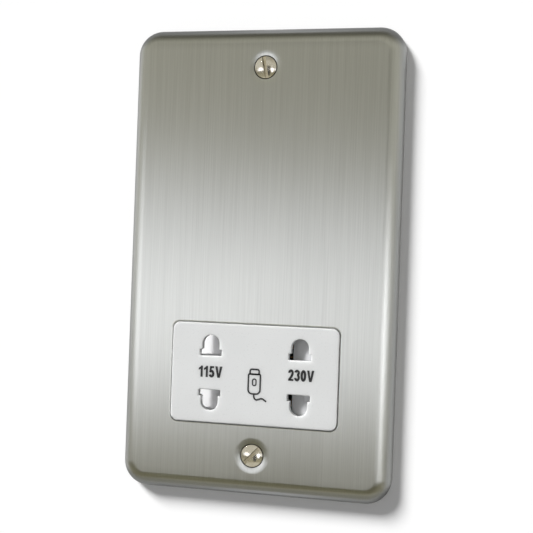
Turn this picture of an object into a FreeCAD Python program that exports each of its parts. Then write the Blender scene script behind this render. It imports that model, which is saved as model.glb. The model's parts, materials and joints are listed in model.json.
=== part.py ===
# Flush shaver supply unit for a bathroom wall, with a brushed steel face plate.
# Frame: +Z up, +Y into the wall, x to the right as one faces the plate.
# Origin: the centre of the plate's rear rim, which lies on the wall. Lengths are in millimetres.
import FreeCAD, Part

import math
import os

V = FreeCAD.Vector

# Face plate, pressed from one sheet
plate_w = 86.0
plate_h = 146.0
plate_depth = 6.5
plate_t = 1.2
plate_corner_r = 8.0
plate_edge_r = 5.0
fixing_from_end = 12.7

# Raised countersunk fixing screws in their dimples
screw_head_r = 3.42
screw_dome_h = 1.0
screw_rim_h = 0.3
screw_sunk = 0.2
screw_slot_w = 1.1
screw_slot_deep = 1.1
screw_neck_r = 1.5
screw_r = 1.75
screw_length = 35.0
upper_slot_deg = 100.0
lower_slot_deg = 46.0
dish_r = 5.6
dish_drop = 0.15
dish_lip_r = 3.75
dish_hole_r = 2.05
cone_clearance = 0.05

# White front moulding: a flange behind the plate and a face that fills the window
window_x = -0.3
insert_x = -0.1
screw_to_window = 9.22
window_w = 53.5
window_h = 31.5
window_r = 2.5
window_gap = 0.2
window_lip_r = 0.35
face_proud = 0.1
face_edge_r = 0.3
flange_side_gap = 3.0
flange_margin = 4.5
flange_r = 4.0
flange_t = 2.0
flange_bevel = 1.0
seat_gap = 0.05

# Keyhole apertures: a slot for flat pins that opens into a round end for round pins
column_x = 14.2
slot_near_z = 5.25
slot_h = 2.05
slot_w = 7.1
slot_corner_r = 0.5
round_r = 2.75
round_z = 9.1
aperture_bevel = 0.15

# Sliding shutter behind the apertures
shutter_travel = 7.8
shutter_play = 0.15
shutter_depth = 3.7
shutter_over = 0.4
web_margin = 0.25
web_t = 1.7
bar_margin = 0.65
ramp_pocket = 1.2
ramp_step = 0.35
ramp_over = 1.15
ramp_drop = 2.95
ramp_end_t = 1.3
ramp_hollow = 0.16
ramp_edge_r = 0.2
guide_rib_t = 1.2
guide_rib_play = 0.5

# Centring spring, held in a pocket of the slide and one of the carrier
spring_r = 1.95
spring_wire_r = 0.24
spring_turns = 7
spring_length = 14.0
spring_play = 0.1
spring_pocket_side = 0.25

# Contact carrier and the contacts
carrier_t = 11.3
carrier_play = 0.2
carrier_over = 0.25
contact_inner_w = 4.6
contact_outer_w = 3.2
contact_t = 0.4
contact_reach = 0.2
contact_throat = 0.6
contact_play = 0.3
contact_base_over = 0.8
tag_w = 3.0
tag_length = 4.0

# Switch: a bridge on the slide wipes two rails in the carrier
rail_wall = 0.9
rail_t = 1.0
supply_rail_z = -7.0
primary_rail_z = -10.5
primary_gap_half = 4.2
rail_slot_play = 0.1
rail_flange_h = 2.0
bridge_half_w = 1.0
bridge_t = 0.3
bridge_clearance = 0.07
bridge_over = 1.3

# Rear housing
wall_t = 1.8
lip_t = 1.8
body_corner_r = 3.0
body_rear_r = 2.0
lower_room = 8.15
upper_room = 1.7
partition_up = 31.7
lead_gap_y = 1.0
lead_gap_half_w = 20.0
rib_t = 2.0
rib_play = 0.1

# Pillars on the plate and their screws
pillar_out = 3.3
pillar_up = 7.5
pillar_r = 2.2
pillar_hole_play = 0.25
pillar_short = 0.2
pillar_screw_r = 1.25
pillar_thread_play = 0.05
pillar_head_r = 2.6
pillar_head_h = 1.1
pillar_tip_gap = 0.4

# Isolating transformer. The laminations are cut with no waste, so their leg sets every other size.
core_stack = 20.0
core_side_gap = 4.35
core_joint_gap = 0.05
clamp_t = 0.8
clamp_width = 14.0
clamp_lip = 4.5
clamp_play = 0.05
bobbin_t = 1.0
bobbin_play = 0.2
bobbin_leg_gap = 0.5
winding_under = 0.3
winding_play = 0.05
winding_corner_r = 4.0
cutout_w = 12.0
cutout_side_gap = 1.65
cutout_t = 2.2
cutout_gap = 0.3
cutout_front_gap = 0.55

# Mains terminals in their shroud
terminal_x = 6.5
terminal_w = 8.4
terminal_h = 11.6
terminal_depth = 9.0
terminal_play = 0.2
terminal_bore_y = 3.3
terminal_bore_deep = 9.0
wire_r = 1.6
wire_slot_w = 5.0
shroud_wall = 1.7
shroud_up = 2.3
shroud_depth = 12.0
shroud_corner_r = 1.2

# Terminal screws, one shape for all three terminals
clamp_screw_r = 1.7
clamp_screw_play = 0.05
clamp_head_r = 2.6
clamp_head_h = 1.7
clamp_slot_w = 0.8
clamp_slot_deep = 0.9
clamp_tip_gap = 0.15
clamp_lift = 0.3

# Earth terminal on the plate
earth_x = 22.0
earth_drop = 3.3
earth_w = 8.0
earth_h = 7.0
earth_clear = 0.5
earth_proud = 5.0
earth_bore_y = 1.8

# Outlines that follow from the plate, from its edge inwards
fixing_pitch = plate_h - 2 * fixing_from_end
flange_w = plate_w - 2 * (plate_t + flange_side_gap)
pillar_x = flange_w / 2 - flange_margin
body_half_w = pillar_x - pillar_out
earth_z = fixing_pitch / 2 - earth_drop

# Levels that follow from the sizes above, front to back
plate_front_y = -plate_depth
plate_back_y = plate_front_y + plate_t
face_y = plate_front_y - face_proud
flange_front_y = plate_back_y + seat_gap
flange_back_y = flange_front_y + flange_t
lip_front_y = flange_back_y + seat_gap
lip_back_y = lip_front_y + lip_t
shutter_front_y = flange_back_y + shutter_play
shutter_back_y = shutter_front_y + shutter_depth
ramp_front_y = shutter_front_y - ramp_pocket
carrier_front_y = shutter_back_y + shutter_play
carrier_back_y = carrier_front_y + carrier_t
guide_back_y = carrier_front_y - seat_gap
contact_base_y = carrier_back_y + seat_gap
rail_front_y = carrier_front_y + seat_gap
spring_y = (shutter_back_y + carrier_front_y) / 2
spring_pocket_half = spring_length / 2 + spring_play
lower_rear_y = carrier_back_y + lower_room + wall_t
terminal_front_y = lower_rear_y + seat_gap
terminal_back_y = terminal_front_y + terminal_depth
shroud_back_y = lower_rear_y + shroud_depth

# Places that follow at the apertures, measured from the insert's centre
insert_z = -fixing_pitch / 2 + screw_to_window + window_h / 2
aperture_far_z = round_z + round_r
shutter_half_h = aperture_far_z + shutter_over
web_half_w = column_x - slot_w / 2 - shutter_travel - web_margin
bar_half_h = slot_near_z - bar_margin
ramp_inner_x = column_x - round_r - ramp_step
ramp_outer_x = column_x + slot_w / 2 + ramp_over
carrier_half_h = shutter_half_h + shutter_play + guide_rib_t + carrier_over
carrier_half_w = body_half_w - wall_t - carrier_play
contact_inner_x = column_x - contact_inner_w
contact_outer_x = column_x + contact_outer_w
contact_near_z = slot_near_z + seat_gap
contact_far_z = aperture_far_z + contact_reach
contact_throat_z = slot_near_z + slot_h + contact_throat
rail_half_w = contact_inner_x - contact_play - rail_wall

# Transformer: the largest laminations that fit between the side walls and below the earth terminal
partition_z = insert_z + partition_up
core_bottom_z = partition_z + seat_gap + clamp_t + clamp_play
above_core = clamp_play + clamp_t + rib_play + wall_t - rib_t + flange_margin
core_room_w = 2 * (body_half_w - wall_t - core_side_gap - clamp_t - clamp_play)
core_room_h = earth_z - earth_h / 2 - earth_clear - above_core - core_bottom_z
core_leg = min(core_room_w / 3, core_room_h / 2.5)
core_window_w = core_leg / 2
core_window_h = core_leg * 1.5
core_w = core_leg * 3
core_h = core_leg * 2.5
spool_grow = bobbin_play + bobbin_t
flange_grow = core_window_w - bobbin_leg_gap
winding_build = flange_grow - spool_grow - winding_under
core_front_y = flange_back_y + cutout_front_gap + cutout_t + cutout_gap + winding_build + spool_grow
core_back_y = core_front_y + core_stack
core_top_z = core_bottom_z + core_h
window_bottom_z = core_bottom_z + (core_h - core_window_h) / 2
window_top_z = core_top_z - (core_h - core_window_h) / 2
section_h = (window_top_z - window_bottom_z - 2 * bobbin_play - 3 * bobbin_t) / 2
cutout_h = section_h - 2 * cutout_side_gap

# Housing and flange, round what they hold
upper_rear_y = core_back_y + flange_grow + upper_room + wall_t
body_top = core_top_z + clamp_play + clamp_t + rib_play + wall_t
body_bottom = insert_z - carrier_half_h - carrier_play - wall_t
flange_bottom = -fixing_pitch / 2 + dish_r + plate_t + 0.5
pillar_upper_z = body_top - rib_t
pillar_lower_z = flange_bottom + pillar_up
flange_top = pillar_upper_z + flange_margin
terminal_z = body_bottom + shroud_up + shroud_wall + terminal_play + terminal_h / 2


def box(x0, x1, y0, y1, z0, z1):
    """Block between two corners."""
    return Part.makeBox(x1 - x0, y1 - y0, z1 - z0, V(x0, y0, z0))


def rod_y(r, x, z, y0, y1):
    """Round bar along y."""
    return Part.makeCylinder(r, y1 - y0, V(x, y0, z), V(0, 1, 0))


def slab(x0, x1, z0, z1, r, y0, y1):
    """Rounded rectangle in the plane of the wall, thickened along y."""
    block = box(x0, x1, y0, y1, z0, z1)
    corners = [e for e in block.Edges if abs(e.Vertexes[0].Y - e.Vertexes[-1].Y) > 1e-6]
    return block.makeFillet(r, corners)


def edges_at(shape, y):
    """Edges that lie wholly in the plane of the given y."""
    box_of = [(e, e.BoundBox) for e in shape.Edges]
    return [e for e, b in box_of if abs(b.YMin - y) < 1e-4 and abs(b.YMax - y) < 1e-4]


def turned(points, x, z):
    """Solid of revolution about the y axis through (x, z), from points (radius, y)."""
    outline = Part.makePolygon([V(x + r, y, z) for r, y in points + points[:1]])
    return Part.Face(outline).revolve(V(x, 0, z), V(0, 1, 0), 360)


def folded(points, thickness, across, start, width):
    """Metal strip folded along points given in the plane square to the axis across."""
    if across == "x":
        line = [V(start, y, z) for z, y in points]
        sweep = V(width, 0, 0)
    else:
        line = [V(x, start, z) for x, z in points]
        sweep = V(0, width, 0)
    wire = Part.makePolygon(line)
    return wire.makeOffset2D(thickness, 0, True, True).extrude(sweep)


def mirrored_x(shape, about=0.0):
    """Copy of a shape on the other side of a plane of constant x."""
    return shape.mirror(V(about, 0, 0), V(1, 0, 0))


def mirrored_z(shape, about=0.0):
    """Copy of a shape on the other side of a plane of constant z."""
    return shape.mirror(V(0, 0, about), V(0, 0, 1))


def fuse(shapes):
    """One solid from several that meet."""
    return shapes[0].multiFuse(shapes[1:]).removeSplitter()


def four_columns(upper_right):
    """The same form at all four apertures, mirrored about the insert's two centre lines."""
    right = [upper_right, mirrored_z(upper_right, insert_z)]
    return right + [mirrored_x(s, insert_x) for s in right]


# Countersink cone of the fixing screw: its widest level and the level where it meets the neck
cone_top_y = plate_front_y + screw_sunk + screw_rim_h
cone_end_y = cone_top_y + screw_head_r - screw_neck_r
cone_grow = cone_clearance * math.sqrt(2)


def pressed_shell():
    """The plate's curved sheet before any holes."""
    outer = slab(-plate_w / 2, plate_w / 2, -plate_h / 2, plate_h / 2, plate_corner_r, plate_front_y, 0)
    outer = outer.makeFillet(plate_edge_r, edges_at(outer, plate_front_y))
    half_w = plate_w / 2 - plate_t
    half_h = plate_h / 2 - plate_t
    inner = slab(-half_w, half_w, -half_h, half_h, plate_corner_r - plate_t, plate_back_y, plate_depth)
    inner = inner.makeFillet(plate_edge_r - plate_t, edges_at(inner, plate_back_y))
    return outer.cut(inner)


def dimple(z):
    """Material of one pressed dimple behind the plate, and the dished hole cut into it."""
    hole_back_y = cone_end_y - (dish_hole_r - screw_neck_r) + plate_t * 0.9
    rim_r = screw_head_r + cone_grow
    cone_back_r = rim_r + cone_top_y - plate_back_y + plate_t * math.sqrt(2)
    swell = [(0, plate_front_y), (dish_r, plate_front_y), (dish_r, plate_back_y), (cone_back_r, plate_back_y)]
    swell += [(cone_back_r - (hole_back_y - plate_back_y), hole_back_y), (0, hole_back_y)]
    boss = turned(swell, 0, z)
    seat_y = cone_end_y - (dish_hole_r - screw_neck_r) + cone_grow
    dish = Part.Arc(
        V(dish_r, plate_front_y, z),
        V((dish_r + dish_lip_r) / 2, plate_front_y + dish_drop / 4, z),
        V(dish_lip_r, plate_front_y + dish_drop, z),
    )
    rest = Part.makePolygon([
        V(dish_lip_r, plate_front_y + dish_drop, z),
        V(dish_lip_r, cone_top_y + rim_r - dish_lip_r, z),
        V(dish_hole_r, seat_y, z),
        V(dish_hole_r, hole_back_y + 1, z),
        V(0, hole_back_y + 1, z),
        V(0, plate_front_y - 1, z),
        V(dish_r, plate_front_y - 1, z),
        V(dish_r, plate_front_y, z),
    ])
    outline = Part.Wire([dish.toShape()] + rest.Edges)
    return boss, Part.Face(outline).revolve(V(0, 0, z), V(0, 1, 0), 360)


def face_plate():
    shell = pressed_shell()
    holes = []
    for z in (fixing_pitch / 2, -fixing_pitch / 2):
        boss, hole = dimple(z)
        shell = shell.fuse(boss)
        holes.append(hole)
    half_w = window_w / 2
    half_h = window_h / 2
    window = slab(window_x - half_w, window_x + half_w, insert_z - half_h, insert_z + half_h,
                  window_r, plate_front_y - 1, plate_back_y + 1)
    shell = shell.cut(holes + [window]).removeSplitter()
    around = window.BoundBox
    rim = [e for e in edges_at(shell, plate_front_y)
           if around.XMin - 0.1 < e.BoundBox.XMin and e.BoundBox.XMax < around.XMax + 0.1
           and around.ZMin - 0.1 < e.BoundBox.ZMin and e.BoundBox.ZMax < around.ZMax + 0.1]
    return shell.makeFillet(window_lip_r, rim)


def fixing_screw(z, slot_deg):
    """Raised countersunk screw with a straight slot, its tail out behind the plate."""
    rim_y = plate_front_y + screw_sunk
    top_y = rim_y - screw_dome_h
    tail_y = cone_end_y + 1.1
    end_y = plate_front_y + screw_length
    dome = Part.Arc(
        V(0, top_y, z),
        V(screw_head_r * 0.52, top_y + screw_dome_h * 0.25, z),
        V(screw_head_r, rim_y, z),
    )
    rest = Part.makePolygon([
        V(screw_head_r, rim_y, z),
        V(screw_head_r, cone_top_y, z),
        V(screw_neck_r, cone_end_y, z),
        V(screw_neck_r, tail_y, z),
        V(screw_r, tail_y + screw_r - screw_neck_r, z),
        V(screw_r, end_y - 0.6, z),
        V(screw_r - 0.6, end_y, z),
        V(0, end_y, z),
        V(0, top_y, z),
    ])
    outline = Part.Wire([dome.toShape()] + rest.Edges)
    screw = Part.Face(outline).revolve(V(0, 0, z), V(0, 1, 0), 360)
    half = screw_slot_w / 2
    slot = box(-screw_head_r - 1, screw_head_r + 1, top_y - 1, top_y + screw_slot_deep, -half, half)
    slot.rotate(V(0, 0, 0), V(0, -1, 0), slot_deg)
    slot.translate(V(0, 0, z))
    return screw.cut(slot)


def pillar_places():
    return [(sx * pillar_x, z) for z in (pillar_upper_z, pillar_lower_z) for sx in (1, -1)]


pillar_end_y = lip_back_y - pillar_short


def plate_pillars():
    """Four tapped pillars welded to the back of the plate."""
    pillars = []
    for x, z in pillar_places():
        pillar = rod_y(pillar_r, x, z, plate_back_y, pillar_end_y)
        tapped = rod_y(pillar_screw_r + pillar_thread_play, x, z, plate_back_y + 0.3, pillar_end_y + 1)
        pillars.append(pillar.cut(tapped))
    return Part.makeCompound(pillars)


def pillar_screws():
    """Four pan head screws that clamp the moulding and the housing to the pillars."""
    screws = []
    head_y = lip_back_y + seat_gap
    for x, z in pillar_places():
        head = rod_y(pillar_head_r, x, z, head_y, head_y + pillar_head_h)
        head = head.makeFillet(pillar_head_h * 0.4, edges_at(head, head_y + pillar_head_h))
        shank = rod_y(pillar_screw_r, x, z, plate_back_y + 0.3 + pillar_tip_gap, head_y)
        slot = box(x - pillar_head_r, x + pillar_head_r, head_y + pillar_head_h * 0.5,
                   head_y + pillar_head_h + 1, z - 0.4, z + 0.4)
        screws.append(fuse([head, shank]).cut(slot))
    return Part.makeCompound(screws)


def keyhole(grow, y):
    """Outline of the upper right aperture, larger all round by grow, in the plane at y."""
    cx = insert_x + column_x
    near = insert_z + slot_near_z - grow
    step = insert_z + slot_near_z + slot_h + grow
    wide = slot_w / 2 + grow
    narrow = round_r + grow
    centre = insert_z + round_z
    r = slot_corner_r
    cut = r * (1 - math.sqrt(0.5))

    def at(x, z):
        return V(cx + x, y, z)

    def corner(a, b, c):
        return Part.Arc(at(*a), at(*b), at(*c)).toShape()

    def line(a, b):
        return Part.LineSegment(at(*a), at(*b)).toShape()

    edges = [
        line((r - wide, near), (wide - r, near)),
        corner((wide - r, near), (wide - cut, near + cut), (wide, near + r)),
        line((wide, near + r), (wide, step)),
        line((wide, step), (narrow, step)),
        line((narrow, step), (narrow, centre)),
        corner((narrow, centre), (0, centre + narrow), (-narrow, centre)),
        line((-narrow, centre), (-narrow, step)),
        line((-narrow, step), (-wide, step)),
        line((-wide, step), (-wide, near + r)),
        corner((-wide, near + r), (cut - wide, near + cut), (r - wide, near)),
    ]
    return Part.Wire(edges)


def aperture():
    """Cutter for the upper right aperture, bevelled at the face."""
    through = Part.Face(keyhole(0, face_y - 1)).extrude(V(0, flange_back_y - face_y + 2, 0))
    mouth = Part.makeLoft([keyhole(2 * aperture_bevel, face_y - aperture_bevel),
                           keyhole(0, face_y + aperture_bevel)], True, True)
    return through.fuse(mouth)


def front_moulding():
    flange = slab(-flange_w / 2, flange_w / 2, flange_bottom, flange_top, flange_r,
                  flange_front_y, flange_back_y)
    flange = flange.makeChamfer(flange_bevel, edges_at(flange, flange_front_y))
    half_w = window_w / 2 - window_gap
    half_h = window_h / 2 - window_gap
    face = slab(window_x - half_w, window_x + half_w, insert_z - half_h, insert_z + half_h,
                window_r - window_gap, face_y, flange_back_y)
    face = face.makeFillet(face_edge_r, edges_at(face, face_y))
    moulding = flange.fuse(face)
    ribs = []
    for side in (1, -1):
        near = insert_z + side * (shutter_half_h + shutter_play)
        far = near + side * guide_rib_t
        half_w = body_half_w - wall_t - guide_rib_play
        ribs.append(box(-half_w, half_w, flange_back_y, guide_back_y, min(near, far), max(near, far)))
        outer = side * (core_w / 2 - rib_t / 2)
        ribs.append(box(outer - rib_t / 2, outer + rib_t / 2, flange_back_y, core_front_y - rib_play,
                        core_bottom_z + core_leg / 2, core_top_z - core_leg / 2))
    moulding = fuse([moulding] + ribs)
    holes = four_columns(aperture()) + ramp_pockets()
    holes += [rod_y(pillar_r + pillar_hole_play, x, z, flange_front_y - 1, flange_back_y + 1)
              for x, z in pillar_places()]
    return moulding.cut(holes)


def ramp_pockets():
    """Two hollows in the back of the moulding, over the whole way that the ramps travel."""
    half_w = body_half_w - wall_t - guide_rib_play
    near = bar_half_h - shutter_play
    far = shutter_half_h + shutter_play
    upper = box(-half_w, half_w, flange_back_y - ramp_pocket, flange_back_y + 1, insert_z + near, insert_z + far)
    return [upper, mirrored_z(upper, insert_z)]


def ramp_tongue():
    """Hollow-ground ramp behind the upper right aperture, which falls towards the middle."""
    x0 = insert_x + ramp_inner_x
    x1 = insert_x + ramp_outer_x
    low_y = ramp_front_y + ramp_drop
    back_y = low_y + ramp_end_t
    middle = V((x0 + x1) / 2, (ramp_front_y + low_y) / 2 + ramp_hollow, 0)
    ramp = Part.Arc(V(x0, low_y, 0), middle, V(x1, ramp_front_y, 0))
    rest = Part.makePolygon([
        V(x1, ramp_front_y, 0),
        V(x1, back_y, 0),
        V(x0, back_y, 0),
        V(x0, low_y, 0),
    ])
    section = Part.Face(Part.Wire([ramp.toShape()] + rest.Edges))
    section.translate(V(0, 0, insert_z + bar_half_h))
    tongue = section.extrude(V(0, 0, shutter_half_h - bar_half_h))
    return tongue.makeFillet(ramp_edge_r, edges_at(tongue, low_y))


def spring_pocket(y0, y1):
    """Space that the spring fills in the slide or in the carrier."""
    half = spring_r + spring_pocket_side
    return box(insert_x - spring_pocket_half, insert_x + spring_pocket_half, y0, y1,
               insert_z - half, insert_z + half)


pocket_depth = spring_r + spring_play


def shutter_slide():
    web = box(insert_x - web_half_w, insert_x + web_half_w, shutter_front_y, shutter_front_y + web_t,
              insert_z - shutter_half_h, insert_z + shutter_half_h)
    bar = box(insert_x - ramp_outer_x, insert_x + ramp_outer_x, shutter_front_y, shutter_back_y,
              insert_z - bar_half_h, insert_z + bar_half_h)
    slide = fuse([web, bar] + four_columns(ramp_tongue()))
    return slide.cut(spring_pocket(spring_y - pocket_depth, shutter_back_y + 1))


def shutter_spring():
    """Coil spring along x, at its fitted length with the slide centred."""
    pitch = (spring_length - 2 * spring_wire_r) / spring_turns
    mean_r = spring_r - spring_wire_r
    helix = Part.makeHelix(pitch, pitch * spring_turns, mean_r)
    ring = Part.Circle(V(mean_r, 0, 0), V(0, 1, pitch / (2 * math.pi * mean_r)), spring_wire_r)
    wire = Part.Wire(helix).makePipeShell([Part.Wire(ring.toShape())], True, True)
    wire.rotate(V(0, 0, 0), V(0, 1, 0), 90)
    wire.translate(V(insert_x - pitch * spring_turns / 2, spring_y, insert_z))
    return wire


def contact_pocket():
    """Passage through the carrier for the upper right contact."""
    return box(insert_x + contact_inner_x - contact_play, insert_x + contact_outer_x + contact_play,
               carrier_front_y - 1, carrier_back_y + 1, insert_z + contact_near_z - contact_play,
               insert_z + contact_far_z + contact_t + contact_play)


def contact_carrier():
    block = slab(-carrier_half_w, carrier_half_w, insert_z - carrier_half_h, insert_z + carrier_half_h,
                 1.0, carrier_front_y, carrier_back_y)
    slots = [rail_slot(supply_rail_z, insert_x - rail_half_w, insert_x + rail_half_w)]
    for side in (1, -1):
        ends = sorted((insert_x + side * primary_gap_half, insert_x + side * rail_half_w))
        slots.append(rail_slot(primary_rail_z, ends[0], ends[1]))
    pocket = spring_pocket(carrier_front_y - 1, spring_y + pocket_depth)
    return block.cut(four_columns(contact_pocket()) + slots + [pocket])


def rail_slot(z, x0, x1):
    half = rail_t / 2 + rail_slot_play
    return box(x0 - rail_slot_play, x1 + rail_slot_play, carrier_front_y - 1, carrier_back_y + 1,
               insert_z + z - half, insert_z + z + half)


def clip():
    """Upper right spring clip: a straight leaf and a bowed one on a base at the carrier's back."""
    front = carrier_front_y + 0.6
    leaf_x = insert_x + contact_inner_x
    width = contact_outer_x - contact_inner_x
    near = insert_z + contact_near_z
    far = insert_z + contact_far_z
    throat = insert_z + contact_throat_z
    straight = box(leaf_x, leaf_x + width, front, contact_base_y + contact_t, near, near + contact_t)
    line = [(far, contact_base_y + contact_t), (far, contact_base_y - 1.2), (throat, front + 3.4),
            (throat + 1.7, front)]
    bowed = folded(line, contact_t, "x", leaf_x, width)
    base = box(leaf_x, leaf_x + width, contact_base_y, contact_base_y + contact_t,
               near - contact_base_over, far + contact_t + contact_base_over)
    middle_x = leaf_x + width / 2
    middle_z = (near + far) / 2
    tag = box(middle_x - tag_w / 2, middle_x + tag_w / 2, contact_base_y, contact_base_y + tag_length,
              middle_z, middle_z + contact_t)
    return [straight, bowed, base, tag]


def contact_230():
    return fuse(clip())


def contact_115():
    return mirrored_x(fuse(clip()), insert_x)


def contact_common():
    """Two lower clips on one strip that joins them along the carrier's back."""
    lower = mirrored_z(fuse(clip()), insert_z)
    edge_z = insert_z - contact_far_z - contact_t - contact_base_over
    link = box(insert_x - contact_outer_x, insert_x + contact_outer_x, contact_base_y,
               contact_base_y + contact_t, edge_z, edge_z + 1.2)
    return fuse([lower, mirrored_x(lower, insert_x), link])


def rail_back(z, x0, x1):
    """Rear flange of a rail with its solder tag."""
    level = insert_z + z
    flange = box(x0, x1, contact_base_y, contact_base_y + contact_t,
                 level - rail_flange_h / 2, level + rail_flange_h / 2)
    tag = box(insert_x - tag_w / 2, insert_x + tag_w / 2, contact_base_y, contact_base_y + tag_length,
              level - contact_t / 2, level + contact_t / 2)
    return [flange, tag]


def rail_blade(z, x0, x1):
    level = insert_z + z
    return box(x0, x1, rail_front_y, contact_base_y + contact_t, level - rail_t / 2, level + rail_t / 2)


def switch_rail_supply():
    x0 = insert_x - rail_half_w
    x1 = insert_x + rail_half_w
    return fuse([rail_blade(supply_rail_z, x0, x1)] + rail_back(supply_rail_z, x0, x1))


def switch_rail_primary():
    """Rail with a gap at the middle, where the bridge rests when no plug is in."""
    x0 = insert_x - rail_half_w
    x1 = insert_x + rail_half_w
    left = rail_blade(primary_rail_z, x0, insert_x - primary_gap_half)
    right = rail_blade(primary_rail_z, insert_x + primary_gap_half, x1)
    return fuse([left, right] + rail_back(primary_rail_z, x0, x1))


def switch_bridge():
    """Sprung bridge behind the slide's web, with a bowed foot over each rail."""
    front = shutter_front_y + web_t + seat_gap
    back = rail_front_y - bridge_clearance - bridge_t
    high = insert_z + supply_rail_z + bridge_over
    low = insert_z + primary_rail_z - bridge_over
    rise = (supply_rail_z - primary_rail_z) / 2 - 0.5
    middle = insert_z + (supply_rail_z + primary_rail_z) / 2
    line = [(low - 0.2, back - 0.9), (low + bridge_over - 0.3, back), (low + bridge_over + 0.3, back),
            (middle - rise / 2, front), (middle + rise / 2, front),
            (high - bridge_over - 0.3, back), (high - bridge_over + 0.3, back), (high + 0.2, back - 0.9)]
    strip = folded(line, bridge_t, "x", insert_x - bridge_half_w, 2 * bridge_half_w)
    return strip


def housing_shell():
    """Stepped box with an open front: shallow behind the apertures, deep behind the transformer."""
    lip = slab(-flange_w / 2, flange_w / 2, flange_bottom, flange_top, flange_r, lip_front_y, lip_back_y)
    lower_top = partition_z
    upper_bottom = partition_z - wall_t
    parts = []
    rooms = []
    for z0, z1, rear in ((body_bottom, lower_top, lower_rear_y), (upper_bottom, body_top, upper_rear_y)):
        part = slab(-body_half_w, body_half_w, z0, z1, body_corner_r, lip_front_y, rear)
        parts.append(part.makeFillet(body_rear_r, edges_at(part, rear)))
        rooms.append(slab(-body_half_w + wall_t, body_half_w - wall_t, z0 + wall_t, z1 - wall_t,
                          body_corner_r - wall_t, lip_front_y - 1, rear - wall_t))
    collar = box(-body_half_w, body_half_w, lip_front_y, lower_rear_y - body_rear_r,
                 upper_bottom - body_corner_r, partition_z + body_corner_r)
    shell = fuse([lip, collar] + parts)
    return shell.cut(rooms)


def terminal_shroud():
    """Walls round the two mains terminals, open at the back, and the cells and wire slots cut into them."""
    half_w = terminal_x + terminal_w / 2 + terminal_play + shroud_wall
    half_h = terminal_h / 2 + terminal_play + shroud_wall
    wall = slab(-half_w, half_w, terminal_z - half_h, terminal_z + half_h, shroud_corner_r,
                lower_rear_y - wall_t, shroud_back_y)
    cells = []
    for side in (1, -1):
        x = side * terminal_x
        cell_w = terminal_w / 2 + terminal_play
        cell_h = terminal_h / 2 + terminal_play
        cells.append(box(x - cell_w, x + cell_w, lower_rear_y, shroud_back_y + 1,
                         terminal_z - cell_h, terminal_z + cell_h))
        cells.append(box(x - wire_slot_w / 2, x + wire_slot_w / 2, lower_rear_y, shroud_back_y + 1,
                         terminal_z - half_h - 1, terminal_z - cell_h + 1))
        cells.append(box(x - tag_w / 2 - terminal_play, x + tag_w / 2 + terminal_play,
                         lower_rear_y - wall_t - 1, lower_rear_y + 1,
                         terminal_z - 0.4 - terminal_play, terminal_z + 0.4 + terminal_play))
    return wall, cells


def rear_housing():
    shell = housing_shell()
    wall, cells = terminal_shroud()
    ribs = []
    for side in (1, -1):
        seat_x = side * (core_w / 2 - rib_t)
        ribs.append(box(seat_x - rib_t / 2, seat_x + rib_t / 2, core_back_y + rib_play,
                        upper_rear_y - wall_t / 2, core_bottom_z + core_leg / 2, core_top_z - core_leg / 2))
        outer = side * (body_half_w - wall_t / 2)
        inner = side * (core_w / 2 + clamp_play + clamp_t + rib_play)
        ribs.append(box(min(outer, inner), max(outer, inner), core_front_y + 4, core_front_y + 4 + rib_t,
                        core_bottom_z, core_top_z - core_leg / 2))
        rest_x = side * (carrier_half_w - 3.5)
        rest_half_h = carrier_half_h - 2
        ribs.append(box(rest_x - rib_t / 2, rest_x + rib_t / 2, carrier_back_y + rib_play,
                        lower_rear_y - wall_t / 2, insert_z - rest_half_h, insert_z + rest_half_h))
    shell = fuse([shell, wall] + ribs)
    lead_gap = box(-lead_gap_half_w, lead_gap_half_w, lip_front_y - 1, lead_gap_y,
                   partition_z - wall_t - 1, partition_z + 1)
    holes = [rod_y(pillar_r + pillar_hole_play, x, z, lip_front_y - 1, lip_back_y + 1)
             for x, z in pillar_places()]
    return shell.cut(cells + holes + [lead_gap])


def core_e_stack():
    """E laminations: a yoke at the bottom and three legs up."""
    yoke = (core_h - core_window_h) / 2
    stack = box(-core_w / 2, core_w / 2, core_front_y, core_back_y, core_bottom_z, core_top_z - yoke)
    windows = []
    for side in (1, -1):
        x = side * (core_leg + core_window_w) / 2
        windows.append(box(x - core_window_w / 2, x + core_window_w / 2, core_front_y - 1, core_back_y + 1,
                           core_bottom_z + yoke, core_top_z))
    return stack.cut(windows)


def core_i_stack():
    yoke = (core_h - core_window_h) / 2
    joint_z = core_top_z - yoke + core_joint_gap
    return box(-core_w / 2, core_w / 2, core_front_y, core_back_y, joint_z, core_top_z)


def core_clamp():
    """Steel strap over the core, its ends folded in under the yoke."""
    x = core_w / 2 + clamp_play
    top = core_top_z + clamp_play
    bottom = core_bottom_z - clamp_play
    line = [(clamp_lip - x, bottom), (-x, bottom), (-x, top), (x, top), (x, bottom),
            (x - clamp_lip, bottom)]
    start = core_front_y + (core_stack - clamp_width) / 2
    return folded(line, clamp_t, "y", start, clamp_width)


def around_leg(grow, z0, z1, r):
    """Rounded block round the core's middle leg, its corners rounded as seen from above."""
    block = box(-core_leg / 2 - grow, core_leg / 2 + grow, core_front_y - grow, core_back_y + grow, z0, z1)
    if r <= 0:
        return block
    uprights = [e for e in block.Edges if abs(e.Vertexes[0].Z - e.Vertexes[-1].Z) > 1e-6]
    return block.makeFillet(r, uprights)


def bobbin():
    """Two-section former, so that the two windings never meet."""
    z = window_bottom_z + bobbin_play
    top = window_top_z - bobbin_play
    parts = [around_leg(spool_grow, z, top, bobbin_t)]
    for level in (z, z + bobbin_t + section_h, top - bobbin_t):
        parts.append(around_leg(flange_grow, level, level + bobbin_t, 1.0))
    leg_hole = around_leg(bobbin_play, z - 1, top + 1, 0)
    return fuse(parts).cut(leg_hole)


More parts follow.
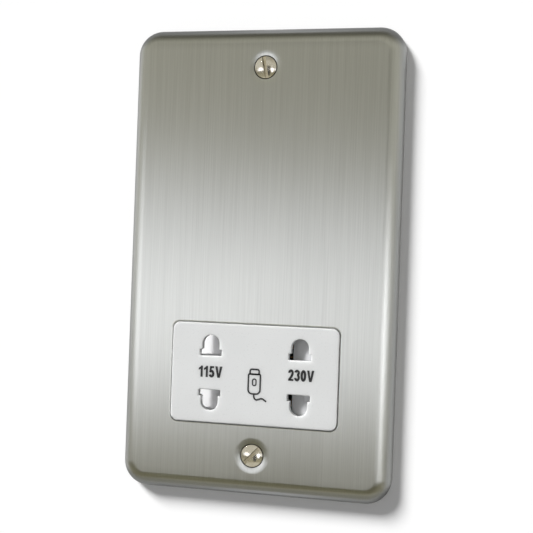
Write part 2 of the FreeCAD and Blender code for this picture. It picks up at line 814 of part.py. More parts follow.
def winding(level):
    outer = around_leg(spool_grow + winding_build, level + winding_play, level + section_h - winding_play,
                       winding_corner_r)
    inner = around_leg(spool_grow + winding_play, level - 1, level + section_h + 1, bobbin_t)
    return outer.cut(inner)


def primary_winding():
    return winding(window_bottom_z + bobbin_play + bobbin_t)


def secondary_winding():
    return winding(window_bottom_z + bobbin_play + 2 * bobbin_t + section_h)


def thermal_cutout():
    """Flat cut-out switch against the front of the primary winding."""
    back = core_front_y - spool_grow - winding_build - cutout_gap
    z = window_bottom_z + bobbin_play + bobbin_t + section_h / 2
    case = box(-cutout_w / 2, cutout_w / 2, back - cutout_t, back, z - cutout_h / 2, z + cutout_h / 2)
    return case.makeFillet(0.5, case.Edges)


def terminal(x):
    """Brass pillar terminal with a blind wire bore from below and a tag through the housing wall."""
    block = box(x - terminal_w / 2, x + terminal_w / 2, terminal_front_y, terminal_back_y,
                terminal_z - terminal_h / 2, terminal_z + terminal_h / 2)
    uprights = [e for e in block.Edges if abs(e.Vertexes[0].Z - e.Vertexes[-1].Z) > 1e-6]
    block = block.makeFillet(0.6, uprights)
    tag = box(x - tag_w / 2, x + tag_w / 2, terminal_front_y - wall_t - tag_length, terminal_front_y,
              terminal_z - 0.4, terminal_z + 0.4)
    bore = Part.makeCylinder(wire_r, terminal_bore_deep, V(x, terminal_front_y + terminal_bore_y,
                                                           terminal_z - terminal_h / 2), V(0, 0, 1))
    tapped = rod_y(clamp_screw_r + clamp_screw_play, x, terminal_z, terminal_front_y + terminal_bore_y,
                   terminal_back_y + 1)
    return fuse([block, tag]).cut([bore, tapped])


def terminal_live():
    return terminal(terminal_x)


def terminal_neutral():
    return terminal(-terminal_x)


def earth_terminal():
    """Brass earth block fixed to the plate's back, its wire bore open towards the side."""
    block = box(earth_x - earth_w / 2, earth_x + earth_w / 2, plate_back_y, earth_proud,
                earth_z - earth_h / 2, earth_z + earth_h / 2)
    uprights = [e for e in block.Edges if abs(e.Vertexes[0].Y - e.Vertexes[-1].Y) > 1e-6]
    block = block.makeFillet(0.6, uprights)
    bore = Part.makeCylinder(wire_r, earth_w, V(earth_x - earth_w / 2, earth_bore_y, earth_z), V(1, 0, 0))
    tapped = rod_y(clamp_screw_r + clamp_screw_play, earth_x, earth_z, earth_bore_y, earth_proud + 1)
    return block.cut([bore, tapped])


def clamp_screw(x, z, tip_y, head_y):
    head = rod_y(clamp_head_r, x, z, head_y, head_y + clamp_head_h)
    head = head.makeChamfer(0.3, edges_at(head, head_y + clamp_head_h))
    shank = rod_y(clamp_screw_r, x, z, tip_y, head_y)
    half = clamp_slot_w / 2
    slot = box(x - clamp_head_r - 1, x + clamp_head_r + 1, head_y + clamp_head_h - clamp_slot_deep,
               head_y + clamp_head_h + 1, z - half, z + half)
    return fuse([head, shank]).cut(slot)


def terminal_screws():
    """Three like screws, backed off so that their bores are free for the wires."""
    tip = terminal_front_y + terminal_bore_y + wire_r + clamp_tip_gap
    earth_tip = earth_bore_y + wire_r + clamp_tip_gap
    head_y = terminal_back_y + clamp_lift
    screws = [clamp_screw(side * terminal_x, terminal_z, tip, head_y) for side in (1, -1)]
    screws.append(clamp_screw(earth_x, earth_z, earth_tip, earth_proud + clamp_lift))
    return Part.makeCompound(screws)


def parts():
    half = fixing_pitch / 2
    return {
        "face_plate": face_plate(),
        "fixing_screw_upper": fixing_screw(half, upper_slot_deg),
        "fixing_screw_lower": fixing_screw(-half, lower_slot_deg),
        "plate_pillars": plate_pillars(),
        "pillar_screws": pillar_screws(),
        "front_moulding": front_moulding(),
        "rear_housing": rear_housing(),
        "shutter_slide": shutter_slide(),
        "shutter_spring": shutter_spring(),
        "contact_carrier": contact_carrier(),
        "contact_115": contact_115(),
        "contact_230": contact_230(),
        "contact_common": contact_common(),
        "switch_bridge": switch_bridge(),
        "switch_rail_supply": switch_rail_supply(),
        "switch_rail_primary": switch_rail_primary(),
        "core_e_stack": core_e_stack(),
        "core_i_stack": core_i_stack(),
        "core_clamp": core_clamp(),
        "bobbin": bobbin(),
        "primary_winding": primary_winding(),
        "secondary_winding": secondary_winding(),
        "thermal_cutout": thermal_cutout(),
        "terminal_live": terminal_live(),
        "terminal_neutral": terminal_neutral(),
        "earth_terminal": earth_terminal(),
        "terminal_screws": terminal_screws(),
    }


os.makedirs("parts", exist_ok=True)
for name, shape in parts().items():
    shape.exportStep(os.path.join("parts", name + ".step"))
    print(name, len(shape.Solids), round(shape.Volume, 1), shape.isValid())
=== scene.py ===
import json
import math

import bpy
from mathutils import Matrix, Vector


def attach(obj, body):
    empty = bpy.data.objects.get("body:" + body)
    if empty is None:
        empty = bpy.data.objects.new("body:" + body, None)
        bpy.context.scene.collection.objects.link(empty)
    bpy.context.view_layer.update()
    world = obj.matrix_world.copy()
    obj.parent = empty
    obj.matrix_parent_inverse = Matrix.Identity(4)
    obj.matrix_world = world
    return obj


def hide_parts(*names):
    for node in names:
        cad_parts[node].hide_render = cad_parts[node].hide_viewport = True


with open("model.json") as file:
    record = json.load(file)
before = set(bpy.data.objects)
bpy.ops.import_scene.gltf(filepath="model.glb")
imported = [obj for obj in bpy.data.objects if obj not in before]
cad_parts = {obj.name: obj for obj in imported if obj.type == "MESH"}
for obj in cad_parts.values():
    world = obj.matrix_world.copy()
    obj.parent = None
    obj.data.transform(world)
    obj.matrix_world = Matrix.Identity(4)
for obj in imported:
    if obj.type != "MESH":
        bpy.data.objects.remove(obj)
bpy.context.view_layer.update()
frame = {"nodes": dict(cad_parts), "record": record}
scene = bpy.context.scene
nodes = frame["nodes"]

MM = 0.001

# Camera of the photograph, solved from the plate, the window and the screws
IMAGE_PX = 533
FOCAL_PX = 988.74
SENSOR_WIDTH = 36.0
CAMERA_YAW = 0.22717
CAMERA_PITCH = -0.00456
CAMERA_ROLL = 0.0359
AIM_X = 1.087 * MM
AIM_Z = -1.485 * MM
CAMERA_DISTANCE = 312.5 * MM

# Places on the solids
FACE_Y = -6.6 * MM
SCREW_Z = 60.3 * MM
RAMP_FRONT_Y = -4.3 * MM
TAIL_Y = -2.8 * MM
TAIL_END_Y = 28.5 * MM


# Small helpers

def linked(obj):
    """The object, linked to the scene."""
    scene.collection.objects.link(obj)
    return obj


def mesh_object(name, verts, faces):
    """A new object of vertices and faces."""
    mesh = bpy.data.meshes.new(name)
    mesh.from_pydata(verts, [], faces)
    mesh.update()
    return linked(bpy.data.objects.new(name, mesh))


def place(obj, body):
    """Let a piece ride on a body."""
    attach(obj, body)
    return obj


# Materials

class Graph:
    """Node tree of one material, with short ways to add and join nodes.

    Wherever a method takes a value, that is a number, a colour or another node's output.
    """

    def __init__(self, name):
        self.material = bpy.data.materials.new(name)
        self.material.use_nodes = True
        self.tree = self.material.node_tree
        self.shader = self.tree.nodes["Principled BSDF"]
        self.coordinates = self.add("ShaderNodeTexCoord")
        self.space = self.coordinates.outputs["Object"]

    def add(self, kind, **values):
        """A new node with its settings."""
        node = self.tree.nodes.new(kind)
        for key, value in values.items():
            setattr(node, key, value)
        return node

    def put(self, value, socket):
        """Join an output to a socket, or set the socket to a constant."""
        if isinstance(value, bpy.types.NodeSocket):
            self.tree.links.new(value, socket)
        else:
            socket.default_value = value

    def set(self, **values):
        """Constants on the shader's own sockets."""
        for key, value in values.items():
            self.shader.inputs[key.replace("_", " ")].default_value = value

    def math(self, operation, a, b=0.0, c=0.0):
        """One math node."""
        node = self.add("ShaderNodeMath", operation=operation)
        for value, socket in zip((a, b, c), node.inputs):
            self.put(value, socket)
        return node.outputs[0]

    def times(self, first, *others):
        """Product of all values."""
        for value in others:
            first = self.math("MULTIPLY", first, value)
        return first

    def plus(self, first, *others):
        """Sum of all values."""
        for value in others:
            first = self.math("ADD", first, value)
        return first

    def minus(self, a, b):
        """The first value less the second."""
        return self.math("SUBTRACT", a, b)

    def linear(self, value, factor, offset):
        """The value times a factor, plus an offset."""
        return self.math("MULTIPLY_ADD", value, factor, offset)

    def size(self, value):
        """The value without its sign."""
        return self.math("ABSOLUTE", value)

    def axes(self, source=None):
        """The three coordinates of a vector, by default of the place on the object."""
        node = self.add("ShaderNodeSeparateXYZ")
        self.put(source or self.space, node.inputs[0])
        return node.outputs

    def scaled(self, scale):
        """The place on the object, stretched along each axis."""
        node = self.add("ShaderNodeMapping")
        self.put(self.space, node.inputs["Vector"])
        node.inputs["Scale"].default_value = scale
        return node.outputs[0]

    def noise(self, scale, detail=2.0, rough=0.5):
        """Noise between 0 and 1, with one scale for all axes or one for each."""
        node = self.add("ShaderNodeTexNoise")
        if isinstance(scale, float):
            scale = (scale, scale, scale)
        self.put(self.scaled(scale), node.inputs["Vector"])
        node.inputs["Scale"].default_value = 1.0
        node.inputs["Detail"].default_value = detail
        node.inputs["Roughness"].default_value = rough
        return node.outputs["Fac"]

    def span(self, value, low, high, to_low=0.0, to_high=1.0, ease="LINEAR"):
        """The value's way from low to high, as a way from to_low to to_high."""
        node = self.add("ShaderNodeMapRange", interpolation_type=ease)
        for v, socket in zip((value, low, high, to_low, to_high), node.inputs):
            self.put(v, socket)
        return node.outputs[0]

    def step(self, value, low, high, to_low=0.0, to_high=1.0):
        """The same as span, but with soft ends."""
        return self.span(value, low, high, to_low, to_high, "SMOOTHSTEP")

    def hump(self, value, middle, half):
        """One at the middle and falling off to both sides, as a bell."""
        away = self.math("DIVIDE", self.minus(value, middle), half)
        return self.math("EXPONENT", self.times(away, away, -0.5))

    def mix(self, factor, a, b, blend="MIX"):
        """Two colours mixed by a factor."""
        node = self.add("ShaderNodeMix", data_type="RGBA", blend_type=blend)
        self.put(factor, node.inputs["Factor"])
        for value, socket in ((a, node.inputs[6]), (b, node.inputs[7])):
            if isinstance(value, tuple) and len(value) == 3:
                value = (*value, 1.0)
            self.put(value, socket)
        return node.outputs[2]

    def dimmed(self, colour, factor):
        """A colour times a number that varies over the surface."""
        grey = self.add("ShaderNodeCombineXYZ")
        for socket in grey.inputs:
            self.put(factor, socket)
        return self.mix(1.0, colour, grey.outputs[0], "MULTIPLY")

    def bump(self, height, strength, distance):
        """Fine relief of the shader's surface."""
        node = self.add("ShaderNodeBump")
        self.put(height, node.inputs["Height"])
        node.inputs["Strength"].default_value = strength
        node.inputs["Distance"].default_value = distance
        self.put(node.outputs[0], self.shader.inputs["Normal"])

    def colour(self, value):
        """The shader's base colour."""
        self.put(value, self.shader.inputs["Base Color"])

    def roughness(self, value):
        """The shader's roughness."""
        self.put(value, self.shader.inputs["Roughness"])


def plate_painted_shade(g, cloud):
    """Painted shade on the plate's steel, as a factor on its colour.

    It darkens the turned-down rim, whose border wanders with the cloud, more on the left side than on
    the right and most on the upper and lower rim. It also darkens towards the upper and lower end and inside
    the two screw seats.
    """
    x, y, z = g.axes()
    nx, _, nz = g.axes(g.coordinates.outputs["Normal"])
    to_ends = g.times(nz, z)
    outward = g.linear(nx, x, to_ends)
    upright = g.math("DIVIDE", g.size(nz), g.plus(g.size(nx), g.size(nz), 0.01))
    # Painted shade on the rim, deeper on its left side than on its right.
    side_level = g.span(nx, -1.0, 1.0, 0.48, 0.62)
    edge_level = g.step(upright, 0.25, 0.8, side_level, 0.6)
    border = g.linear(g.span(cloud, 0.35, 0.65, -1.0, 1.0), 0.25 * MM, y)
    rim = g.times(g.step(border, -5.9 * MM, -4.1 * MM), g.step(outward, -4.0 * MM, 4.0 * MM))
    from_screw = g.minus(g.size(z), SCREW_Z)
    radius = g.math("SQRT", g.plus(g.times(x, x), g.times(from_screw, from_screw)))
    # Painted shade in the grooves of the two screw seats.
    seat = g.times(g.step(radius, 3.66 * MM, 3.76 * MM, 1.0, 0.0), g.step(y, -6.35 * MM, -6.2 * MM))
    return g.times(
        g.minus(1.0, g.times(rim, g.minus(1.0, edge_level))),
        g.linear(seat, -0.9, 1.0),
        # Painted shade on the upper and lower rim and towards the two ends.
        g.step(to_ends, 6.0 * MM, 34.0 * MM, 1.0, 0.53),
        g.step(g.size(z), 65.5 * MM, 69.5 * MM, 1.0, 0.87),
    )


def brushed_plate():
    """Satin stainless steel with an upright grain, darkened by painted shade on the rim, at the ends and in
    the screw seats.
    """
    g = Graph("plate_steel")
    g.set(Metallic=1.0, Anisotropic=0.95)
    fine = g.noise((2600.0, 2600.0, 26.0), detail=3.0, rough=0.6)
    broad = g.noise((420.0, 420.0, 5.0))
    streak = g.plus(g.span(fine, 0.3, 0.7, -0.5, 0.5), g.span(broad, 0.3, 0.7, -0.12, 0.12))
    grain = g.span(streak, -0.6, 0.6)
    cloud = g.noise((24.0, 24.0, 14.0), detail=1.0)
    steel = g.mix(g.span(cloud, 0.35, 0.65), (0.667, 0.68, 0.673), (0.692, 0.705, 0.698))
    lined = g.mix(grain, (0.87, 0.87, 0.87), (1.0, 1.0, 1.0))
    # The steel's colour is darkened by painted shade on the rim, at the ends and in the screw seats.
    g.colour(g.dimmed(g.mix(1.0, steel, lined, "MULTIPLY"), plate_painted_shade(g, cloud)))
    g.roughness(g.span(grain, 0.0, 1.0, 0.28, 0.32))
    tangent = g.add("ShaderNodeTangent", direction_type="RADIAL", axis="Z")
    g.put(tangent.outputs[0], g.shader.inputs["Tangent"])
    g.bump(fine, 0.08, 0.05 * MM)
    return g.material


def slot_dirt_and_shadow(g, plating, z, angle, reach):
    """Old dirt on a screw slot's floor, and a painted shadow along its upper left wall from reach onwards.
    """
    x, y, height = g.axes()
    cosine, sine = math.cos(math.radians(angle)), math.sin(math.radians(angle))
    above = g.minus(height, z)
    across = g.plus(g.times(x, -sine), g.times(above, cosine))
    along = g.plus(g.times(x, cosine), g.times(above, sine))
    head = g.step(y, -5.2 * MM, -4.8 * MM, 1.0, 0.0)
    inside = g.times(g.step(g.size(across), 0.5 * MM, 0.6 * MM, 1.0, 0.0), head)
    blotch = g.noise(900.0, detail=3.0)
    stained = g.times(inside, g.span(blotch, 0.3, 0.7, 0.5, 1.0))
    floor = g.mix(stained, plating, (0.68, 0.61, 0.47))
    # Painted shadow: a dark line along the slot's upper left wall.
    line = g.times(g.hump(across, 0.53 * MM, 0.08 * MM), g.step(along, reach, reach + 1.2 * MM))
    return g.mix(g.times(line, head, 0.7), floor, (0.16, 0.12, 0.05))


def plated(name, light, dark, rough, metallic=1.0, slot=None):
    """Bright plating with faint stains and fine wear, and with dirt and a painted shadow in a screw's slot
    if it has one.
    """
    g = Graph(name)
    g.set(Metallic=metallic)
    stain = g.noise(420.0, detail=3.0)
    plating = g.mix(g.span(stain, 0.35, 0.7), light, dark)
    g.colour(slot_dirt_and_shadow(g, plating, *slot) if slot else plating)
    fine = g.noise(2400.0)
    g.roughness(g.span(fine, 0.3, 0.7, rough - 0.05, rough + 0.07))
    g.bump(fine, 0.05, 0.05 * MM)
    return g.material


def translucent(g, weight):
    """Let some light through just under the surface."""
    g.set(Subsurface_Weight=weight, Subsurface_Scale=2.0 * MM, Subsurface_Radius=(1.0, 1.0, 1.0))


def moulded(name, light, dark, rough, grain, depth, glow=0.0):
    """Moulded plastic with a faint mottle and a fine grain, translucent where glow says so."""
    g = Graph(name)
    translucent(g, glow)
    mottle = g.noise(60.0)
    g.colour(g.mix(g.span(mottle, 0.3, 0.7), light, dark))
    fine = g.noise(grain)
    g.roughness(g.span(fine, 0.3, 0.7, rough - 0.04, rough + 0.06))
    g.bump(fine, depth, 0.08 * MM)
    return g.material


def polished_shutter():
    """Grey acetal, polished by the pins, with painted light: paler in the depth of the right-hand ramps,
    where shade falls.
    """
    g = Graph("shutter_plastic")
    g.set(IOR=1.6, Specular_IOR_Level=0.9, Coat_Weight=1.0, Coat_Roughness=0.06, Coat_IOR=1.6)
    translucent(g, 0.5)
    mottle = g.span(g.noise(90.0), 0.3, 0.7)
    acetal_grey = g.mix(mottle, (0.54, 0.54, 0.56), (0.51, 0.51, 0.53))
    painted_light_grey = g.mix(mottle, (0.90, 0.90, 0.91), (0.86, 0.86, 0.87))
    x, y, _ = g.axes()
    deep = g.step(y, RAMP_FRONT_Y + 0.4 * MM, RAMP_FRONT_Y + 2.6 * MM)
    # Painted light: the deep part of the right-hand ramps gets the paler grey, where they lie in shade.
    g.colour(g.mix(g.times(g.step(x, -2.0 * MM, 2.0 * MM), deep), acetal_grey, painted_light_grey))
    fine = g.noise((1500.0, 1500.0, 500.0))
    g.roughness(g.span(fine, 0.3, 0.7, 0.08, 0.13))
    g.bump(fine, 0.015, 0.05 * MM)
    return g.material


def layered(name, light, dark, scale, rough, metallic):
    """Stacked sheets or wound wire, as lines along one axis."""
    g = Graph(name)
    g.set(Metallic=metallic)
    wave = g.add("ShaderNodeTexWave", wave_type="BANDS", bands_direction="DIAGONAL")
    g.put(g.scaled(scale), wave.inputs["Vector"])
    wave.inputs["Scale"].default_value = 1.0
    wave.inputs["Distortion"].default_value = 0.4
    lines = wave.outputs["Fac"]
    g.colour(g.mix(lines, dark, light))
    g.roughness(g.span(lines, 0.0, 1.0, rough + 0.1, rough))
    g.bump(lines, 0.5, 0.1 * MM)
    return g.material


def printed(name, ink):
    """Printed ink with slightly uneven density."""
    g = Graph(name)
    density = g.noise(900.0)
    light = tuple(c * 1.5 for c in ink)
    g.colour(g.mix(g.span(density, 0.35, 0.75), ink, light))
    g.roughness(g.span(density, 0.3, 0.7, 0.42, 0.52))
    return g.material


# Each slot's way of making it, and what that takes after the name: lighter and darker colour first
FINISHES = {
    "screw_nickel": (plated, (0.84, 0.80, 0.73), (0.68, 0.62, 0.53), 0.14),
    "zinc_steel": (plated, (0.74, 0.74, 0.72), (0.58, 0.58, 0.57), 0.34),
    "white_face": (moulded, (0.73, 0.737, 0.733), (0.705, 0.712, 0.708), 0.3, 1800.0, 0.03, 1.0),
    "housing_plastic": (moulded, (0.66, 0.66, 0.63), (0.60, 0.60, 0.575), 0.5, 1300.0, 0.25),
    "spring_wire": (plated, (0.62, 0.62, 0.60), (0.50, 0.50, 0.49), 0.3),
    "carrier_plastic": (moulded, (0.035, 0.03, 0.027), (0.024, 0.021, 0.02), 0.45, 1500.0, 0.1),
    "contact_bronze": (plated, (0.74, 0.46, 0.25), (0.60, 0.34, 0.17), 0.3),
    "lamination": (layered, (0.14, 0.13, 0.125), (0.06, 0.055, 0.05), (0.0, 1500.0, 0.0), 0.4, 0.8),
    "bobbin_nylon": (moulded, (0.72, 0.69, 0.60), (0.66, 0.63, 0.54), 0.42, 1300.0, 0.08),
    "winding_copper": (layered, (0.70, 0.30, 0.13), (0.30, 0.10, 0.04), (0.0, 0.0, 1800.0), 0.3, 0.9),
    "cutout_case": (moulded, (0.03, 0.03, 0.032), (0.02, 0.02, 0.022), 0.35, 1500.0, 0.05),
    "terminal_brass": (plated, (0.80, 0.62, 0.31), (0.64, 0.46, 0.2), 0.28),
}
materials = {slot: make(slot, *values) for slot, (make, *values) in FINISHES.items()}
materials["plate_steel"] = brushed_plate()
materials["shutter_plastic"] = polished_shutter()
for entry in frame["record"]["subparts"]:
    node = nodes[entry["node"]]
    node.data.materials.clear()
    node.data.materials.append(materials[entry["material_slot"]])


# Fixing screws with a cut thread on their tails, in place of the plain solids

THREAD_R = 1.75 * MM
THREAD_ROOT_R = 1.42 * MM
THREAD_PITCH = 0.6 * MM
THREAD_RUN_OUT = 0.9 * MM
STEPS_PER_TURN = 28
RIDGE_SUNK_R = THREAD_ROOT_R - 0.03 * MM
RIDGE_ROOT_HALF = 0.29 * MM
RIDGE_CREST_HALF = 0.04 * MM


def thread_ridge(z):
    """One V ridge wound round the tail, as vertices and faces."""
    verts = []
    faces = []
    first = TAIL_Y + THREAD_RUN_OUT
    turns = (TAIL_END_Y - THREAD_RUN_OUT - first) / THREAD_PITCH
    count = int(turns * STEPS_PER_TURN)
    for i in range(count + 1):
        angle = 2 * math.pi * i / STEPS_PER_TURN
        y = first + THREAD_PITCH * i / STEPS_PER_TURN
        rise = min(1.0, i / STEPS_PER_TURN, (count - i) / STEPS_PER_TURN)
        crest = THREAD_ROOT_R + rise * (THREAD_R - THREAD_ROOT_R)
        for r, along in ((RIDGE_SUNK_R, -RIDGE_ROOT_HALF), (crest, -RIDGE_CREST_HALF),
                         (crest, RIDGE_CREST_HALF), (RIDGE_SUNK_R, RIDGE_ROOT_HALF)):
            verts.append((r * math.cos(angle), y + along, z + r * math.sin(angle)))
    for i in range(count):
        for k in range(3):
            a = 4 * i + k
            faces.append((a, a + 1, a + 5, a + 4))
    return verts, faces


def threaded_screw(node_name, z, slot_angle, shadow_from):
    """The screw's own mesh with its tail turned down to the thread's root, and a ridge round the tail."""
    source = nodes[node_name].data
    verts = []
    for v in source.vertices:
        x, y, up = v.co
        r = math.hypot(x, up - z)
        if y > TAIL_Y + 0.1 * MM and r > THREAD_ROOT_R:
            x *= THREAD_ROOT_R / r
            up = z + (up - z) * THREAD_ROOT_R / r
        verts.append((x, y, up))
    faces = [tuple(p.vertices) for p in source.polygons]
    smooth = [p.use_smooth for p in source.polygons]
    ridge_verts, ridge_faces = thread_ridge(z)
    base = len(verts)
    faces += [tuple(base + i for i in face) for face in ridge_faces]
    smooth += [True] * len(ridge_faces)
    piece = mesh_object(node_name + "_threaded", verts + ridge_verts, faces)
    piece.data.polygons.foreach_set("use_smooth", smooth)
    # Where the painted shadow along the slot's upper left wall begins.
    slot = (z, slot_angle, shadow_from)
    piece.data.materials.append(plated(node_name, (0.90, 0.87, 0.81), (0.78, 0.73, 0.65), 0.15, 0.9, slot))
    piece.data.set_sharp_from_angle(angle=math.radians(35))
    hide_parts(node_name)
    return place(piece, "socket")


threaded_screw("fixing_screw_upper", SCREW_Z, 100.0, -0.3 * MM)
threaded_screw("fixing_screw_lower", -SCREW_Z, 46.0, -4.0 * MM)


# Printed figures and sign on the face

PRINT_LIFT = 0.012 * MM
INK = printed("print_ink", (0.02, 0.02, 0.022))


def ribbon(points, width, closed=False):
    """Flat band of a given width along points, as vertices and faces."""
    verts = []
    faces = []
    count = len(points)
    for i, (x, z) in enumerate(points):
        before = points[(i - 1) % count] if closed or i else points[i]
        after = points[(i + 1) % count] if closed or i < count - 1 else points[i]
        along = Vector((after[0] - before[0], after[1] - before[1])).normalized()
        side = Vector((-along.y, along.x)) * width / 2
        verts.append((x + side.x, z + side.y))
        verts.append((x - side.x, z - side.y))
    last = count if closed else count - 1
    for i in range(last):
        a = 2 * i
        b = 2 * ((i + 1) % count)
        faces.append((a, b, b + 1, a + 1))
    return verts, faces


def outline(*points):
    """Flat shape inside a closed line of points, as vertices and faces."""
    return list(points), [tuple(range(len(points)))]


def arc(cx, cz, rx, rz, start, end, steps=20):
    """Points along an elliptic arc, whose start and end are in degrees."""
    angles = [math.radians(start + (end - start) * i / steps) for i in range(steps + 1)]
    return [(cx + rx * math.cos(a), cz + rz * math.sin(a)) for a in angles]


# Bold figures, each in a box one unit high: width, then its flat shapes
BAR = 0.205
FIGURE_GAP = 0.075
FIGURES = {
    "1": (0.38, [
        outline((0.175, 0), (0.36, 0), (0.36, 1), (0.21, 1), (0.175, 0.93)),
        outline((0, 0.62), (0.09, 0.65), (0.175, 0.70), (0.175, 0.93), (0.09, 0.85), (0, 0.80)),
    ]),
    "5": (0.47, [
        ribbon([(0.08, 0.915), (0.44, 0.915)], 0.17),
        ribbon([(0.165, 0.92), (0.115, 0.46)], 0.16),
        ribbon(arc(0.232, 0.325, 0.15, 0.24, 148, -160), BAR),
    ]),
    "2": (0.47, [
        ribbon(arc(0.232, 0.70, 0.145, 0.212, 178, -28), BAR),
        ribbon([(0.365, 0.60), (0.28, 0.40), (0.11, 0.12)], BAR),
        outline((0, 0), (0.465, 0), (0.465, 0.17), (0, 0.17)),
    ]),
    "3": (0.47, [
        ribbon(arc(0.225, 0.735, 0.14, 0.178, 172, -90), BAR),
        ribbon(arc(0.225, 0.315, 0.15, 0.228, 90, -172), BAR),
    ]),
    "0": (0.47, [ribbon(arc(0.235, 0.5, 0.146, 0.412, 0, 350, 35), BAR, True)]),
    "V": (0.62, [
        outline((0, 1), (0.205, 1), (0.31, 0.32), (0.31, 0), (0.2, 0)),
        outline((0.62, 1), (0.42, 0), (0.31, 0), (0.31, 0.32), (0.415, 1)),
    ]),
}


def print_shapes(name, shapes):
    """Flat shapes in millimetres on the face, as a thin printed film."""
    verts = []
    faces = []
    for flat, polygons in shapes:
        base = len(verts)
        verts += [(x * MM, FACE_Y - PRINT_LIFT, z * MM) for x, z in flat]
        faces += [tuple(base + i for i in polygon) for polygon in polygons]
    piece = mesh_object(name, verts, faces)
    piece.data.materials.append(INK)
    return place(piece, "socket")


def print_figures(name, text, x0, x1, z0, z1):
    """A row of figures that fills a box, in millimetres."""
    total = sum(FIGURES[c][0] for c in text) + FIGURE_GAP * (len(text) - 1)
    stretch = (x1 - x0) / total
    shapes = []
    at = 0.0
    for c in text:
        width, parts = FIGURES[c]
        for flat, polygons in parts:
            moved = [(x0 + (at + x) * stretch, z0 + z * (z1 - z0)) for x, z in flat]
            shapes.append((moved, polygons))
        at += width + FIGURE_GAP
    return print_shapes(name, shapes)


def rounded_outline(x0, x1, z0, z1, radii, steps=8):
    """Points of a rounded rectangle, with a radius for each corner from lower left anticlockwise."""
    corners = [(x0, z0, 1, 1, 180), (x1, z0, -1, 1, 270), (x1, z1, -1, -1, 0), (x0, z1, 1, -1, 90)]
    points = []
    for (x, z, sx, sz, start), r in zip(corners, radii):
        points += arc(x + sx * r, z + sz * r, r, r, start, start + 90, steps)
    return points


def shaver_sign():
    """Plain outline of an electric shaver with its lead, in place of the sign on the face."""
    line = 0.5
    x, z = 0.05, -33.5
    body = rounded_outline(x - 1.9, x + 1.9, z - 7.6, z - 1.5, (1.3, 1.3, 0.4, 0.4))
    head = rounded_outline(x - 1.45, x + 1.45, z - 1.5, z, (0.15, 0.15, 0.6, 0.6))
    switch = rounded_outline(x - 0.55, x + 0.55, z - 5.0, z - 3.0, (0.5, 0.5, 0.5, 0.5))
    lead = [(x, z - 7.6), (x, z - 8.2)]
    lead += arc(x + 0.9, z - 8.2, 0.9, 1.2, 180, 300, 14)
    lead += arc(x + 2.4, z - 10.2, 1.25, 1.25, 125, 45, 10)
    lead += [(x + 4.0, z - 9.75)]
    return print_shapes("shaver_sign", [
        ribbon(body, line, True),
        ribbon(head, line, True),
        ribbon(switch, line * 0.8, True),
        ribbon(lead, line),
    ])


print_figures("figures_115", "115V", -18.0, -10.35, -36.75, -33.25)
print_figures("figures_230", "230V", 10.7, 18.75, -36.35, -32.87)
shaver_sign()


# Wall behind the plate, with the opening that the housing goes through. It is seen only from the room.

WALL_Y = 0.15 * MM
WALL_REACH = 4.0
WALL_GLOW = 0.03
OPENING_HALF_W = 40.0 * MM
OPENING_HALF_H = 66.0 * MM


def wall_paint():
    """Matt white with a slight glow of its own, and clear from behind."""
    g = Graph("wall_paint")
    paint = g.noise(9.0, detail=1.0)
    g.colour(g.mix(paint, (0.93, 0.93, 0.93), (0.95, 0.95, 0.95)))
    g.set(Roughness=0.9)
    path = g.add("ShaderNodeLightPath").outputs
    seen = g.math("MAXIMUM", g.math("MAXIMUM", path["Is Camera Ray"], path["Is Glossy Ray"]),
                  path["Is Transmission Ray"])
    glow = g.add("ShaderNodeEmission")
    glow.inputs["Color"].default_value = (1.0, 1.0, 1.0, 1.0)
    g.put(g.times(seen, WALL_GLOW), glow.inputs["Strength"])
    both = g.add("ShaderNodeAddShader")
    g.put(g.shader.outputs[0], both.inputs[0])
    g.put(glow.outputs[0], both.inputs[1])
    clear = g.add("ShaderNodeBsdfTransparent")
    side = g.add("ShaderNodeNewGeometry")
    choice = g.add("ShaderNodeMixShader")
    g.put(side.outputs["Backfacing"], choice.inputs[0])
    g.put(both.outputs[0], choice.inputs[1])
    g.put(clear.outputs[0], choice.inputs[2])
    g.put(choice.outputs[0], g.tree.nodes["Material Output"].inputs["Surface"])
    return g.material


def wall():
    """The wall as four faces round its opening."""
    verts = []
    for half_w, half_h in ((WALL_REACH, WALL_REACH), (OPENING_HALF_W, OPENING_HALF_H)):
        verts += [(-half_w, WALL_Y, -half_h), (half_w, WALL_Y, -half_h),
                  (half_w, WALL_Y, half_h), (-half_w, WALL_Y, half_h)]
    faces = [(i, (i + 1) % 4, 4 + (i + 1) % 4, 4 + i) for i in range(4)]
    piece = mesh_object("wall", verts, faces)
    piece.data.materials.append(wall_paint())
    return piece


# Room that reflections see, in terms of turn, the bearing from straight ahead in radians to the right, and
# rise, the slope above the level. ROOM_TONES are added up, each as two rises and the levels before and after
# them. The places are given by four turns and four rises, where they begin and are full and where they fade
# and end, and by a strength.

AMBIENT = 0.16
WARM_LOW = (1.0, 0.93, 0.6)
WARM_HIGH = (1.0, 0.955, 0.72)
ROOM_TONES = (
    (-1.2, -0.7, 0.25, 0.0),
    (-0.55, -0.3, 0.1, 0.0),
    (-0.1, 0.1, 0.19, 0.39),
    (0.11, 0.2, 0.0, 0.08),
    (0.5, 2.0, 0.0, -0.23),
)
BAND = ((-1.2, -0.9, 0.72, 1.2), (-0.22, -0.08, -0.065, 0.15), 1.0)
LEFT_WINDOW = ((-0.9, -0.78, -0.6, -0.48), (-0.18, -0.06, 0.03, 0.18), 1.5)
RIGHT_WINDOW = ((0.42, 0.455, 0.56, 0.6), (-0.4, -0.07, -0.04, 0.1), 5.1)
VIEWER = ((-0.04, 0.02, 0.26, 0.33), (-1.0, -0.7, 0.22, 0.36), -0.95)


def between(g, value, start, full, fading, end):
    """One between full and fading, and nothing before start and after end."""
    return g.times(g.step(value, start, full), g.step(value, fading, end, 1.0, 0.0))


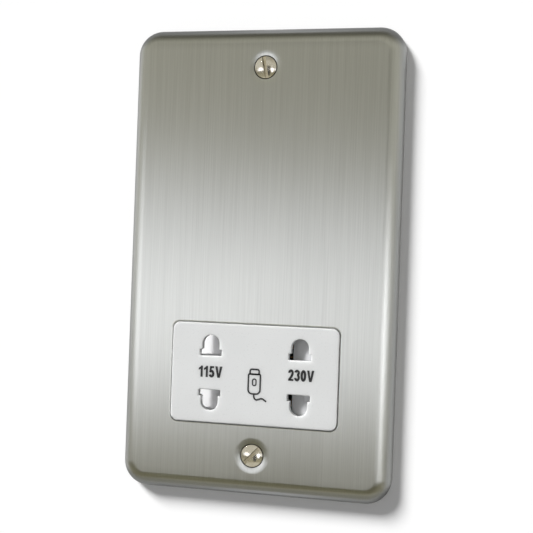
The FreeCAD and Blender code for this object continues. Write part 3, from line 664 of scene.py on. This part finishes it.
def room_level(g, x, y, z):
    """What reflections see in front of the wall: a dim room, a bright band, two windows, a dark figure."""
    flat = g.math("SQRT", g.plus(g.times(x, x), g.times(y, y)))
    rise = g.math("DIVIDE", z, g.math("MAXIMUM", flat, 0.05))
    turn = g.math("ARCTAN2", x, g.times(y, -1.0))

    def added(place_in_room, under):
        """The level under a place with the place's own strength added."""
        turns, rises, strength = place_in_room
        return g.linear(g.times(between(g, turn, *turns), between(g, rise, *rises)), strength, under)

    level = g.plus(*(g.step(rise, *tone) for tone in ROOM_TONES))
    for bright in (BAND, LEFT_WINDOW, RIGHT_WINDOW):
        level = added(bright, level)
    return g.times(level, added(VIEWER, 1.0))


def world_light():
    """White behind the object, the room for reflections, and an even dim light for the rest."""
    world = bpy.data.worlds.new("room")
    world.use_nodes = True
    scene.world = world
    g = Graph("room_nodes")
    bpy.data.materials.remove(g.material)
    g.tree = world.node_tree
    x, y, z = g.axes(g.add("ShaderNodeTexCoord").outputs["Generated"])
    level = room_level(g, x, y, z)
    behind = g.span(y, -0.05, 0.12)
    seen = g.linear(level, g.minus(1.0, behind), behind)
    path = g.add("ShaderNodeLightPath").outputs
    clear = g.math("MAXIMUM", path["Is Camera Ray"], path["Is Transmission Ray"])
    glossy = g.times(path["Is Glossy Ray"], g.minus(1.0, clear))
    rest = g.math("MAXIMUM", g.minus(g.minus(1.0, clear), glossy), 0.0)
    warm = g.times(glossy, g.step(seen, 0.3, 0.8, 1.0, 0.0))
    tint = g.mix(g.step(z, -0.35, 0.0), WARM_LOW, WARM_HIGH)
    background = world.node_tree.nodes["Background"]
    g.put(g.mix(warm, (1.0, 1.0, 1.0), tint), background.inputs["Color"])
    g.put(g.plus(clear, g.times(glossy, seen), g.times(rest, AMBIENT)), background.inputs["Strength"])


def sun(name, toward, strength, spread_deg):
    """Soft light from a direction, given as the way from the object to the light."""
    lamp = bpy.data.lights.new(name, "SUN")
    lamp.energy = strength
    lamp.angle = math.radians(spread_deg)
    obj = linked(bpy.data.objects.new(name, lamp))
    obj.rotation_euler = Vector(toward).to_track_quat("Z", "Y").to_euler()
    obj.visible_glossy = False
    return obj


def photo_camera():
    """The photograph's camera, turned by its yaw, pitch and roll round the point that it aims at."""
    yaw, pitch, roll = CAMERA_YAW, CAMERA_PITCH, CAMERA_ROLL
    back = Vector((math.sin(yaw) * math.cos(pitch), -math.cos(yaw) * math.cos(pitch), math.sin(pitch)))
    right = Vector((math.cos(yaw), math.sin(yaw), 0.0))
    up = back.cross(right)
    right_rolled = math.cos(roll) * right + math.sin(roll) * up
    up_rolled = math.cos(roll) * up - math.sin(roll) * right
    lens = bpy.data.cameras.new("photo")
    lens.sensor_width = SENSOR_WIDTH
    lens.lens = FOCAL_PX * lens.sensor_width / IMAGE_PX
    lens.clip_start = 0.01
    camera = linked(bpy.data.objects.new("photo", lens))
    position = Vector((AIM_X, 0.0, AIM_Z)) + back * CAMERA_DISTANCE
    turned = Matrix((right_rolled, up_rolled, back)).transposed().to_4x4()
    camera.matrix_world = Matrix.Translation(position) @ turned
    scene.camera = camera


wall()
world_light()
sun("key", toward=(-1.03, -1.0, 1.28), strength=4.86, spread_deg=18.0)
sun("front", toward=(0.23, -0.97, 0.0), strength=0.3, spread_deg=20.0)
sun("back", toward=(0.5, 1.0, 0.8), strength=2.2, spread_deg=40.0)
photo_camera()
scene.view_settings.view_transform = "Standard"
